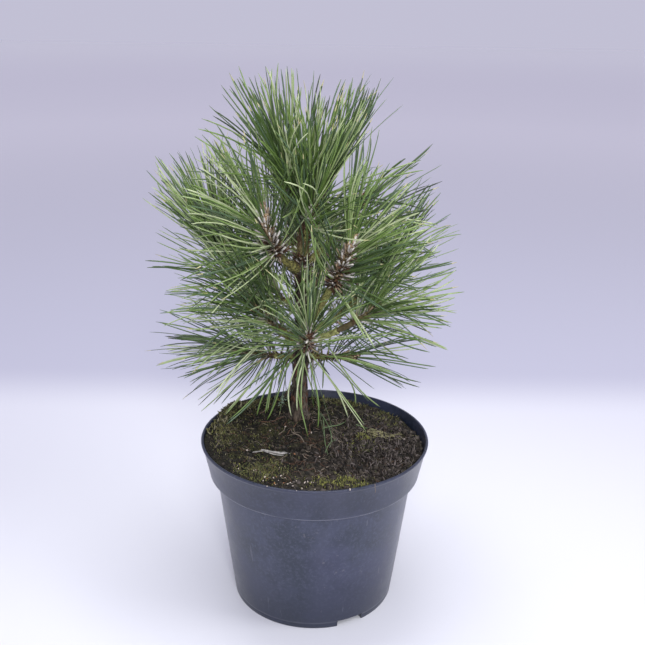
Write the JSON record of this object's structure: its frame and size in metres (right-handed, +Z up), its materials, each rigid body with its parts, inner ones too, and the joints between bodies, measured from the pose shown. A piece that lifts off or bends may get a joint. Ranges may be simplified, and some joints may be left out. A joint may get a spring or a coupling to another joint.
{
  "type": "potted pine",
  "caption": "Young Austrian pine with long dark green needles in a round dark grey-blue plastic nursery pot filled with mossy soil.",
  "frame": {"origin": "middle of the pot's flat underside, on the pot's axis at ground level", "axes": "+Z up along the pot's axis and the trunk, -Y towards the front of the plant, +X to the right seen from the front"},
  "size_m": [0.2826, 0.281, 0.4453],
  "materials": {
    "pot": "satin",
    "soil": "matte",
    "bark": "matte",
    "young_bark": "matte",
    "needles": "matte"
  },
  "bodies": {
    "root": {"bough_back": "young_bark", "bough_back_left": "young_bark", "bough_back_right": "young_bark", "bough_front": "young_bark", "bough_inner_front": "young_bark", "bough_inner_left": "young_bark", "bough_left": "young_bark", "bough_low_left": "young_bark", "bough_low_right": "young_bark", "bough_right": "young_bark", "bough_right_rising": "young_bark", "bough_top_left": "young_bark", "bough_top_right": "young_bark", "bough_upper_back": "young_bark", "bough_upper_left": "young_bark", "bough_upper_right": "young_bark", "needles_back": "needles", "needles_back_left": "needles", "needles_back_right": "needles", "needles_front": "needles", "needles_inner_front": "needles", "needles_inner_left": "needles", "needles_leader": "needles", "needles_left": "needles", "needles_low_left": "needles", "needles_low_right": "needles", "needles_right": "needles", "needles_right_rising": "needles", "needles_top_left": "needles", "needles_top_right": "needles", "needles_upper_back": "needles", "needles_upper_left": "needles", "needles_upper_right": "needles", "pot": "pot", "soil": "soil", "trunk": "bark"}
  },
  "joints": []
}
